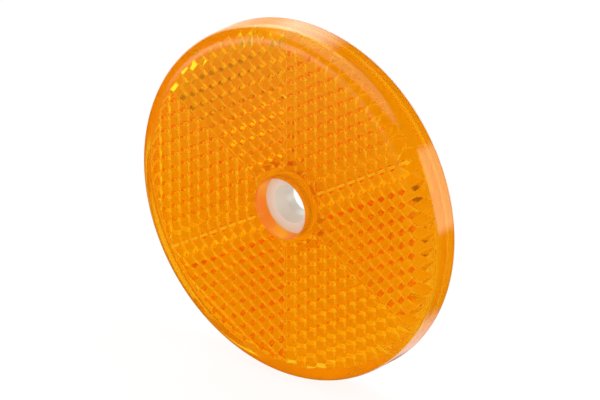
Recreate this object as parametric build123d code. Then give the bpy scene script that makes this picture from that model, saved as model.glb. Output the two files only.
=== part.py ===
from build123d import *
import os
from math import ceil, cos, hypot, pi, radians, sin, sqrt, tan

# Round screw-on reflex reflector: an amber acrylic lens, moulded with corner-cube prisms on
# its rear side, closed by a white back plate whose collar carries the fixing screw.
#
# The disc stands upright. Its axis is the Y axis, the front faces -Y and +Z is up.
# The origin is the centre of the fixing hole on the mounting face, which is y = 0.
# All sizes are in millimetres.

# ---- driving dimensions: the disc ----
DIAMETER = 60.0
THICKNESS = 6.8            # mounting face to front face
SIDE_DRAFT = 0.1           # how much smaller the radius is at the front
FRONT_FILLET = 2.55        # rounding between the front face and the side
REAR_CHAMFER = 0.15        # broken outer edge at the rear end of the skirt

# ---- driving dimensions: the fixing hole ----
HOLE_DIAMETER = 5.3        # close clearance for an M5 screw
HOLE_FLARE = 0.65          # the hole's radius grows by this towards the collar's end,
FLARE_DEPTH = 2.2          # ... over this stretch, so that the screw finds its way in
RECESS_DIAMETER = 9.9      # the screw's head goes in here
RECESS_DEPTH = 2.65        # front face to the collar's end
RECESS_FILLET = 0.3        # rounding of the recess at the front face

# ---- driving dimensions: the prisms ----
CUBE_EDGE = 1.65           # edge of one corner cube
VALLEY_DEPTH = 2.0         # front face to the valleys between the cubes
FLOOR_CLEARANCE = 0.1      # the floor under the prisms is this much nearer to the front
WEDGES = 6                 # equal bundles of prisms, each turned by one step
WEDGE_GAP = 0.05           # slit between neighbouring wedges
WEDGE_OVERLAP = 0.4        # how far a wedge runs into the skirt and into the boss
PRISM_FIELD_RADIUS = 27.8  # inner face of the skirt, where the prisms end

# ---- driving dimensions: boss, collar, back plate and its seat ----
BOSS_RADIUS = 6.4          # smooth boss of the lens round the recess
COLLAR_STEP = 0.5          # the boss is wider by this behind the recess, for the collar
PLATE_THICKNESS = 1.3
PLATE_FLANGE = 0.2         # thickness of the plate's rim, which covers the end of the skirt
FLANGE_INSET = 0.15        # how far the plate's rim stays inside the lens's outline
SEAT_WIDTH = 1.75          # ledge in the skirt that the back plate is welded to
WELD_BEAD = 0.3            # width of the ridge on the plate that is melted into the seat
CLEARANCE = 0.1            # between the two mouldings: round the edges and behind the lens

# ---- worked out from them ----
RADIUS = DIAMETER / 2
HOLE_RADIUS = HOLE_DIAMETER / 2
RECESS_RADIUS = RECESS_DIAMETER / 2
SOCKET_RADIUS = RECESS_RADIUS + COLLAR_STEP
SEAT_RADIUS = PRISM_FIELD_RADIUS + SEAT_WIDTH
CELL_RADIUS = CUBE_EDGE * sqrt(2 / 3)   # centre to corner of a cell's hexagon
CELL_PITCH = CELL_RADIUS * sqrt(3)      # across the flats of the hexagon
CUBE_STEP = CUBE_EDGE / sqrt(3)         # depth from one level of corners to the next
WEDGE_ANGLE = 360 / WEDGES
HALF_WEDGE = radians(WEDGE_ANGLE / 2)

# Places along the axis, from the front face to the mounting face.
FRONT = -THICKNESS
WEDGE_ROOT = FRONT + VALLEY_DEPTH / 2   # where a wedge starts, inside the front wall
FLOOR = FRONT + VALLEY_DEPTH - FLOOR_CLEARANCE
VALLEY = FRONT + VALLEY_DEPTH           # corners that three cells share at a low point
SADDLE = VALLEY + CUBE_STEP             # the other corners of a cell
TIP = VALLEY + 2 * CUBE_STEP            # the corner of the cube, in the cell's centre
COLLAR_END = FRONT + RECESS_DEPTH
SOCKET_END = COLLAR_END - CLEARANCE
PLATE_FRONT = -PLATE_THICKNESS
SEAT = PLATE_FRONT - CLEARANCE          # the ledge for the plate, and the boss's end
SKIRT_END = -PLATE_FLANGE - CLEARANCE / 2


def nearest(vertices, x, y):
    """The vertex that is nearest to a point of the section."""
    return vertices.sort_by(lambda v: hypot(v.X - x, v.Y - y))[0]


def lens_body():
    """Front wall, rounded edge, skirt and boss of the lens, with a flat floor under the prisms."""
    edge = RADIUS - SIDE_DRAFT
    outline = [
        (RECESS_RADIUS, FRONT),
        (edge, FRONT),
        (RADIUS, SKIRT_END - REAR_CHAMFER),
        (RADIUS - REAR_CHAMFER, SKIRT_END),
        (SEAT_RADIUS, SKIRT_END),
        (SEAT_RADIUS, SEAT),
        (PRISM_FIELD_RADIUS, SEAT),
        (PRISM_FIELD_RADIUS, FLOOR),
        (BOSS_RADIUS, FLOOR),
        (BOSS_RADIUS, SEAT),
        (SOCKET_RADIUS, SEAT),
        (SOCKET_RADIUS, SOCKET_END),
        (RECESS_RADIUS, SOCKET_END),
    ]
    with BuildSketch() as section:
        with BuildLine():
            Polyline(*outline, close=True)
        make_face()
        fillet(nearest(section.vertices(), edge, FRONT), FRONT_FILLET)
        fillet(nearest(section.vertices(), RECESS_RADIUS, FRONT), RECESS_FILLET)
    return revolve(section.sketch, Axis.Y, 360)


def cell_centres():
    """Centres of the hexagonal cells that reach into the wedge about the +X direction.

    The disc's axis falls on a corner of the hexagons, so the first column is a third of a step out.
    """
    inner = BOSS_RADIUS - WEDGE_OVERLAP - CELL_PITCH
    outer = PRISM_FIELD_RADIUS + WEDGE_OVERLAP + CELL_PITCH
    column_step = CELL_RADIUS * 3 / 2
    centres = []
    for column in range(ceil(outer / column_step) + 1):
        x = (column + 1 / 3) * column_step
        half_height = x * tan(HALF_WEDGE) + CELL_PITCH
        rows = ceil(half_height / CELL_PITCH)
        for row in range(-rows, rows + 1):
            z = (row + (column + 1) % 2 / 2) * CELL_PITCH
            if abs(z) < half_height and inner < hypot(x, z) < outer:
                centres.append((x, z))
    return centres


def cell_corners(centre, even_level, odd_level):
    """The six corners of a cell's hexagon. Its even corners and its odd ones have their own level."""
    corners = []
    for k in range(6):
        x = centre[0] + CELL_RADIUS * cos(k * pi / 3)
        z = centre[1] + CELL_RADIUS * sin(k * pi / 3)
        corners.append(Vector(x, odd_level if k % 2 else even_level, z))
    return corners


def polygon(*points):
    """A flat face on these points."""
    return Face(Wire.make_polygon(points, close=True))


def prism_array():
    """One closed solid with a corner cube in each cell: three square faces that meet in a tip."""
    faces = []
    sides = {}
    for centre in cell_centres():
        tip = Vector(centre[0], TIP, centre[1])
        top = cell_corners(centre, SADDLE, VALLEY)
        root = cell_corners(centre, WEDGE_ROOT, WEDGE_ROOT)
        faces.append(polygon(*root))
        for k in (0, 2, 4):
            faces.append(polygon(tip, top[k], top[k + 1], top[(k + 2) % 6]))
        for k in range(6):
            m = (k + 1) % 6
            middle = (root[k] + root[m]) / 2
            place = (round(middle.X, 3), round(middle.Z, 3))
            shared = place in sides
            sides[place] = None if shared else polygon(top[k], top[m], root[m], root[k])
    faces += [side for side in sides.values() if side]
    return Solid(Shell(faces))


def wedge_room():
    """The room of one wedge: a sixth of a ring, less half a slit along each straight side."""
    inner = BOSS_RADIUS - WEDGE_OVERLAP
    outer = PRISM_FIELD_RADIUS + WEDGE_OVERLAP
    apex = WEDGE_GAP / 2 / sin(HALF_WEDGE)
    far = apex + 2 * outer
    spread = 2 * outer * tan(HALF_WEDGE)
    depth = 2 * THICKNESS
    with BuildSketch(Plane.XZ.offset(-depth / 2)) as room:
        Circle(outer)
        Circle(inner, mode=Mode.SUBTRACT)
        with BuildLine():
            Polyline((apex, 0), (far, spread), (far, -spread), close=True)
        make_face(mode=Mode.INTERSECT)
    return extrude(room.sketch, 2 * depth)


def lens():
    """The whole lens, which is one moulding."""
    wedge = prism_array() & wedge_room()
    body = lens_body()
    for k in range(WEDGES):
        body += Rot(0, k * WEDGE_ANGLE, 0) * wedge
    return body


def back_plate():
    """White plate that closes the lens, with the collar that the screw passes through."""
    plate_radius = SEAT_RADIUS - CLEARANCE
    collar_radius = SOCKET_RADIUS - CLEARANCE
    bead_radius = (PRISM_FIELD_RADIUS + plate_radius) / 2
    outline = [
        (HOLE_RADIUS, 0),
        (RADIUS - FLANGE_INSET, 0),
        (RADIUS - FLANGE_INSET, -PLATE_FLANGE),
        (plate_radius, -PLATE_FLANGE),
        (plate_radius, PLATE_FRONT),
        (bead_radius + WELD_BEAD / 2, PLATE_FRONT),
        (bead_radius, SEAT),
        (bead_radius - WELD_BEAD / 2, PLATE_FRONT),
        (collar_radius, PLATE_FRONT),
        (collar_radius, COLLAR_END),
        (HOLE_RADIUS + HOLE_FLARE, COLLAR_END),
        (HOLE_RADIUS, COLLAR_END + FLARE_DEPTH),
    ]
    return revolve(make_face(Polyline(*outline, close=True)), Axis.Y, 360)


parts = {
    "lens": lens(),
    "back_plate": back_plate(),
}

os.makedirs("parts", exist_ok=True)
for name, part in parts.items():
    export_step(part, f"parts/{name}.step")
    print(name, round(part.volume, 1), "mm3", len(part.faces()), "faces", part.is_valid)
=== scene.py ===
from math import cos, radians, sin

import bpy
from mathutils import Matrix, Vector


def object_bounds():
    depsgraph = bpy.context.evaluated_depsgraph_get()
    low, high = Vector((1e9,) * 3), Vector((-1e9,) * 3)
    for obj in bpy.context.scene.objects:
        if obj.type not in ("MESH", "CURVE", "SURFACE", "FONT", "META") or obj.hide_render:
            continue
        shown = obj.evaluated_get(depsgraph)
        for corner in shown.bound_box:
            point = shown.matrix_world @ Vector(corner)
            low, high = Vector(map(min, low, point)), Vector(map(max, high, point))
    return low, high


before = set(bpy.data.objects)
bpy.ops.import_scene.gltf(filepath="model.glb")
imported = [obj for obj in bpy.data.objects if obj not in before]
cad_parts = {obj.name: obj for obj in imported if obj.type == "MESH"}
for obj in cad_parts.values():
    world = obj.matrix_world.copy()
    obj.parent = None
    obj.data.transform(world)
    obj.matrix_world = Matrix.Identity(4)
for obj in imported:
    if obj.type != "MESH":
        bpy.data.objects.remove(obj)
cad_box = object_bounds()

MM = 0.001


# ---------------------------------------------------------------- camera
AZIMUTH = radians(38.61)
ELEVATION = radians(23.48)
DISTANCE = 750 * MM
FOCAL_MM = 279.7
SENSOR_MM = 36
AIM_RIGHT = -1.065 * MM     # the aim's offset from the part's origin, to the right ...
AIM_UP = -0.742 * MM        # ... and up, as the camera sees it
CLIP_START = 10 * MM


def add_camera():
    """Camera that looks at the front from the right and from above."""
    back = Vector((sin(AZIMUTH) * cos(ELEVATION), -cos(AZIMUTH) * cos(ELEVATION), sin(ELEVATION)))
    right = Vector((cos(AZIMUTH), sin(AZIMUTH), 0))
    up = back.cross(right)
    target = AIM_RIGHT * right + AIM_UP * up
    data = bpy.data.cameras.new("camera")
    data.lens = FOCAL_MM
    data.sensor_width = SENSOR_MM
    data.clip_start = CLIP_START
    camera = bpy.data.objects.new("camera", data)
    place = Matrix((right, up, back)).transposed().to_4x4()
    place.translation = back * DISTANCE + target
    camera.matrix_world = place
    bpy.context.scene.collection.objects.link(camera)
    bpy.context.scene.camera = camera


# ---------------------------------------------------------------- materials
CLEAR_AMBER = (1.0, 0.62, 0.022)
DEEP_AMBER = (0.98, 0.56, 0.018)
# Painted shade: the walls of the screw's recess get a deeper amber.
RECESS_PAINTED_SHADE_AMBER = (0.88, 0.29, 0.004)
ACRYLIC_IOR = 1.49
EDGE_ROUNDING = 0.2 * MM    # radius that the prisms' edges are shaded with
EDGE_SAMPLES = 4
RIPPLE = 0.002 * MM         # height of the ripples in the acrylic
HAZE = 0.02                 # roughness of the polished acrylic, at most
WELD_DEPTH = -1.6 * MM      # the frosted seat lies behind this ...
WELD_RADIUS = 29.7 * MM     # ... and within this radius
WELD_FROST = 0.6            # roughness of the frosted seat
BORE_RADIUS = 5.2 * MM      # the walls of the screw's recess lie within this radius
BORE_FROST = 0.45           # roughness of those walls

LIGHT_WHITE = (0.92, 0.90, 0.88)
DARK_WHITE = (0.88, 0.86, 0.84)
# Painted shade: the collar in the screw's recess is painted greyer than the plate.
COLLAR_PAINTED_SHADE_WHITE = (0.76, 0.75, 0.69)
COLLAR_RADIUS = 5.4 * MM    # the collar lies within this radius ...
COLLAR_DEPTH = -0.1 * MM    # ... and in front of this
GRAIN = 0.01 * MM           # height of the grain in the white plastic
PLASTIC_ROUGHNESS = 0.25    # least roughness of the white plastic
GRAIN_ROUGHNESS = 0.2       # how much the grain adds to it

# Each noise: its scale and its detail.
STREAK_NOISE = (70, 3)
HAZE_NOISE = (300, 4)
RIPPLE_NOISE = (260, 2)
CLOUD_NOISE = (120, 3)
GRAIN_NOISE = (900, 4)


def new_material(name):
    """A material with one Principled shader, and what is needed to build on it."""
    material = bpy.data.materials.new(name)
    material.use_nodes = True
    nodes, links = material.node_tree.nodes, material.node_tree.links
    nodes.clear()
    output = nodes.new("ShaderNodeOutputMaterial")
    shader = nodes.new("ShaderNodeBsdfPrincipled")
    links.new(shader.outputs["BSDF"], output.inputs["Surface"])
    return material, nodes, links, shader


def mix_colours(nodes, links, factor, first, second):
    """The first colour where the factor is 0, the second where it is 1. Each is a socket or a colour."""
    mix = nodes.new("ShaderNodeMix")
    mix.data_type = "RGBA"
    links.new(factor, mix.inputs["Factor"])
    for value, name in ((first, "A"), (second, "B")):
        socket = next(i for i in mix.inputs if i.name == name and i.type == "RGBA")
        if isinstance(value, tuple):
            socket.default_value = (*value, 1)
        else:
            links.new(value, socket)
    return next(o for o in mix.outputs if o.type == "RGBA")


def add_noise(nodes, links, place, kind):
    """Noise between 0 and 1 in the object's own space."""
    scale, detail = kind
    noise = nodes.new("ShaderNodeTexNoise")
    noise.inputs["Scale"].default_value = scale
    noise.inputs["Detail"].default_value = detail
    links.new(place, noise.inputs["Vector"])
    return noise.outputs["Fac"]


def add_math(nodes, links, operation, first, second):
    """One sum, product or comparison. Its inputs are sockets or plain numbers."""
    math = nodes.new("ShaderNodeMath")
    math.operation = operation
    for value, socket in zip((first, second), math.inputs):
        if isinstance(value, (int, float)):
            socket.default_value = value
        else:
            links.new(value, socket)
    return math.outputs["Value"]


def add_bump(nodes, links, height, depth):
    """Normal of a surface that this height raises by up to this depth."""
    bump = nodes.new("ShaderNodeBump")
    bump.inputs["Distance"].default_value = depth
    links.new(height, bump.inputs["Height"])
    return bump.outputs["Normal"]


def radius_and_depth(nodes, links, place):
    """Distance from the disc's axis, and the place along it."""
    split = nodes.new("ShaderNodeSeparateXYZ")
    links.new(place, split.inputs["Vector"])
    flat = nodes.new("ShaderNodeCombineXYZ")
    links.new(split.outputs["X"], flat.inputs["X"])
    links.new(split.outputs["Z"], flat.inputs["Z"])
    length = nodes.new("ShaderNodeVectorMath")
    length.operation = "LENGTH"
    links.new(flat.outputs["Vector"], length.inputs[0])
    return length.outputs["Value"], split.outputs["Y"]


def amber_acrylic():
    """Amber acrylic, frosted on the weld seat and in the recess, where a deeper tint is also painted in
    as shade.
    """
    material, nodes, links, shader = new_material("amber_acrylic")
    place = nodes.new("ShaderNodeTexCoord").outputs["Object"]
    streaks = add_noise(nodes, links, place, STREAK_NOISE)
    clear = mix_colours(nodes, links, streaks, CLEAR_AMBER, DEEP_AMBER)
    radius, depth = radius_and_depth(nodes, links, place)
    # Recess mask: a deeper amber is painted there as shade, and the walls are frosted.
    bore = add_math(nodes, links, "LESS_THAN", radius, BORE_RADIUS)
    tint = mix_colours(nodes, links, bore, clear, RECESS_PAINTED_SHADE_AMBER)
    links.new(tint, shader.inputs["Base Color"])
    shader.inputs["Transmission Weight"].default_value = 1
    shader.inputs["IOR"].default_value = ACRYLIC_IOR
    behind = add_math(nodes, links, "GREATER_THAN", depth, WELD_DEPTH)
    within = add_math(nodes, links, "LESS_THAN", radius, WELD_RADIUS)
    weld = add_math(nodes, links, "MULTIPLY", behind, within)
    weld_frost = add_math(nodes, links, "MULTIPLY", weld, WELD_FROST)
    bore_frost = add_math(nodes, links, "MULTIPLY", bore, BORE_FROST)
    frost = add_math(nodes, links, "ADD", weld_frost, bore_frost)
    haze = add_math(nodes, links, "MULTIPLY", add_noise(nodes, links, place, HAZE_NOISE), HAZE)
    links.new(add_math(nodes, links, "ADD", frost, haze), shader.inputs["Roughness"])
    ripple = add_bump(nodes, links, add_noise(nodes, links, place, RIPPLE_NOISE), RIPPLE)
    rounded = nodes.new("ShaderNodeBevel")
    rounded.samples = EDGE_SAMPLES
    rounded.inputs["Radius"].default_value = EDGE_ROUNDING
    links.new(ripple, rounded.inputs["Normal"])
    links.new(rounded.outputs["Normal"], shader.inputs["Normal"])
    return material


def white_plastic():
    """White moulded plastic with a fine grain. The collar, in the recess, is painted greyer than the
    plate as shade.
    """
    material, nodes, links, shader = new_material("white_plastic")
    place = nodes.new("ShaderNodeTexCoord").outputs["Object"]
    radius, depth = radius_and_depth(nodes, links, place)
    # Painted shade: the collar's mask, where the greyer white is painted.
    in_front = add_math(nodes, links, "LESS_THAN", depth, COLLAR_DEPTH)
    near_axis = add_math(nodes, links, "LESS_THAN", radius, COLLAR_RADIUS)
    collar = add_math(nodes, links, "MULTIPLY", in_front, near_axis)
    cloud = add_noise(nodes, links, place, CLOUD_NOISE)
    plate_tint = mix_colours(nodes, links, cloud, LIGHT_WHITE, DARK_WHITE)
    tint = mix_colours(nodes, links, collar, plate_tint, COLLAR_PAINTED_SHADE_WHITE)
    links.new(tint, shader.inputs["Base Color"])
    grain = add_noise(nodes, links, place, GRAIN_NOISE)
    grain_roughness = add_math(nodes, links, "MULTIPLY", grain, GRAIN_ROUGHNESS)
    roughness = add_math(nodes, links, "ADD", grain_roughness, PLASTIC_ROUGHNESS)
    links.new(roughness, shader.inputs["Roughness"])
    links.new(add_bump(nodes, links, grain, GRAIN), shader.inputs["Normal"])
    return material


# ---------------------------------------------------------------- studio
FLOOR_HALF = 3.0            # half the floor's side, in metres
FLOOR_GREY = (0.2, 0.2, 0.2)
FLOOR_GLOW = 0.84           # strength of its own white light
FLOOR_ROUGHNESS = 0.8


def add_floor(level):
    """Plain pale floor at this height."""
    corners = [(-1, -1), (1, -1), (1, 1), (-1, 1)]
    mesh = bpy.data.meshes.new("floor")
    mesh.from_pydata([(x * FLOOR_HALF, y * FLOOR_HALF, level) for x, y in corners], [], [(0, 1, 2, 3)])
    floor = bpy.data.objects.new("floor", mesh)
    bpy.context.scene.collection.objects.link(floor)
    material, _, _, shader = new_material("pale_floor")
    shader.inputs["Base Color"].default_value = (*FLOOR_GREY, 1)
    shader.inputs["Emission Color"].default_value = (1, 1, 1, 1)
    shader.inputs["Emission Strength"].default_value = FLOOR_GLOW
    shader.inputs["Roughness"].default_value = FLOOR_ROUGHNESS
    shader.inputs["Specular IOR Level"].default_value = 0
    mesh.materials.append(material)
    floor.visible_glossy = False


# The studio is an even surround with round cards in it. Each card: the direction it stands in,
# half angle in degrees, softness in degrees, colour. A later card lies over those before it.
SURROUND = (1.27, 1.27, 1.27)
BLACK = (0, 0, 0)
# In the surround, for light that comes through the acrylic or falls on the plastic and the floor:
SHADES = [
    ((0.2, 1.0, -0.1), 65, 12, (0.55, 0.54, 0.53)),
    ((-0.3, -0.3, 0.8), 30, 8, (0.5, 0.46, 0.42)),
    ((0.18, -0.33, 0.92), 15, 4, (0.28, 0.16, 0.1)),
    ((0.05, 0.69, 0.68), 17, 4, (0.1, 0.06, 0.04)),
    ((0.56, 0.76, -0.25), 14, 4, (0.3, 0.25, 0.2)),
    ((-0.56, 0.7, 0.32), 20, 8, (2.1, 2.1, 2.1)),
    ((0.64, 0.73, 0.1), 12, 3, (2.6, 2.6, 2.6)),
]
# On black, for light that is mirrored in a surface:
CARDS = [
    ((0.0, 0.0, 1.0), 42, 5, (1.2, 1.0, 0.95)),
    ((-0.6, 0.717, 0.36), 20, 8, (2.4, 2.9, 2.7)),
    ((-0.7, 0.7, -0.1), 20, 10, (1.2, 0.9, 0.7)),
    ((0.70, 0.717, 0.03), 18, 3, (2.4, 2.5, 1.9)),
    ((-0.2, 0.717, -0.66), 12, 8, (0.9, 0.9, 1.0)),
    ((-0.57, -0.72, 0.05), 24, 3, (0.7, 0.5, 0.5)),
    ((-0.55, -0.8, 0.12), 12, 3, (2.2, 1.8, 1.8)),
    ((-0.75, -0.64, -0.08), 10, 3, (2.2, 1.8, 1.8)),
]


def add_cards(nodes, links, direction, cards, around):
    """Colour of the surroundings with these round, soft-edged cards standing in them."""
    for where, half, soft, colour in cards:
        dot = nodes.new("ShaderNodeVectorMath")
        dot.operation = "DOT_PRODUCT"
        links.new(direction, dot.inputs[0])
        dot.inputs[1].default_value = Vector(where).normalized()
        edge = nodes.new("ShaderNodeMapRange")
        edge.interpolation_type = "SMOOTHSTEP"
        links.new(dot.outputs["Value"], edge.inputs["Value"])
        edge.inputs["From Min"].default_value = cos(radians(half + soft))
        edge.inputs["From Max"].default_value = cos(radians(half - soft))
        around = mix_colours(nodes, links, edge.outputs["Result"], around, colour)
    return around


def add_light():
    """Light from all round. Mirrored rays meet the cards, and the camera sees the plain surround."""
    world = bpy.data.worlds.new("studio")
    world.use_nodes = True
    nodes, links = world.node_tree.nodes, world.node_tree.links
    direction = nodes.new("ShaderNodeTexCoord").outputs["Generated"]
    rays = nodes.new("ShaderNodeLightPath")
    mirrored = nodes.new("ShaderNodeMath")
    mirrored.operation = "SUBTRACT"
    mirrored.use_clamp = True
    links.new(rays.outputs["Is Glossy Ray"], mirrored.inputs[0])
    links.new(rays.outputs["Is Transmission Ray"], mirrored.inputs[1])
    lit = add_cards(nodes, links, direction, SHADES, SURROUND)
    reflected = add_cards(nodes, links, direction, CARDS, BLACK)
    colour = mix_colours(nodes, links, mirrored.outputs["Value"], lit, reflected)
    colour = mix_colours(nodes, links, rays.outputs["Is Camera Ray"], colour, SURROUND)
    links.new(colour, nodes["Background"].inputs["Color"])
    bpy.context.scene.world = world


# ---------------------------------------------------------------- scene
LENS_BOUNCES = 64           # light crosses many facets before it leaves the lens
DIFFUSE_BOUNCES = 32

floor_level = cad_box[0][2]
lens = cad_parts["lens"]
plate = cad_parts["back_plate"]
lens.data.materials[0] = amber_acrylic()
plate.data.materials[0] = white_plastic()
add_floor(floor_level)
add_light()
add_camera()
bpy.context.scene.view_settings.view_transform = "Standard"
cycles = bpy.context.scene.cycles
cycles.max_bounces = LENS_BOUNCES
cycles.transmission_bounces = LENS_BOUNCES
cycles.glossy_bounces = LENS_BOUNCES
cycles.diffuse_bounces = DIFFUSE_BOUNCES
cycles.blur_glossy = 0
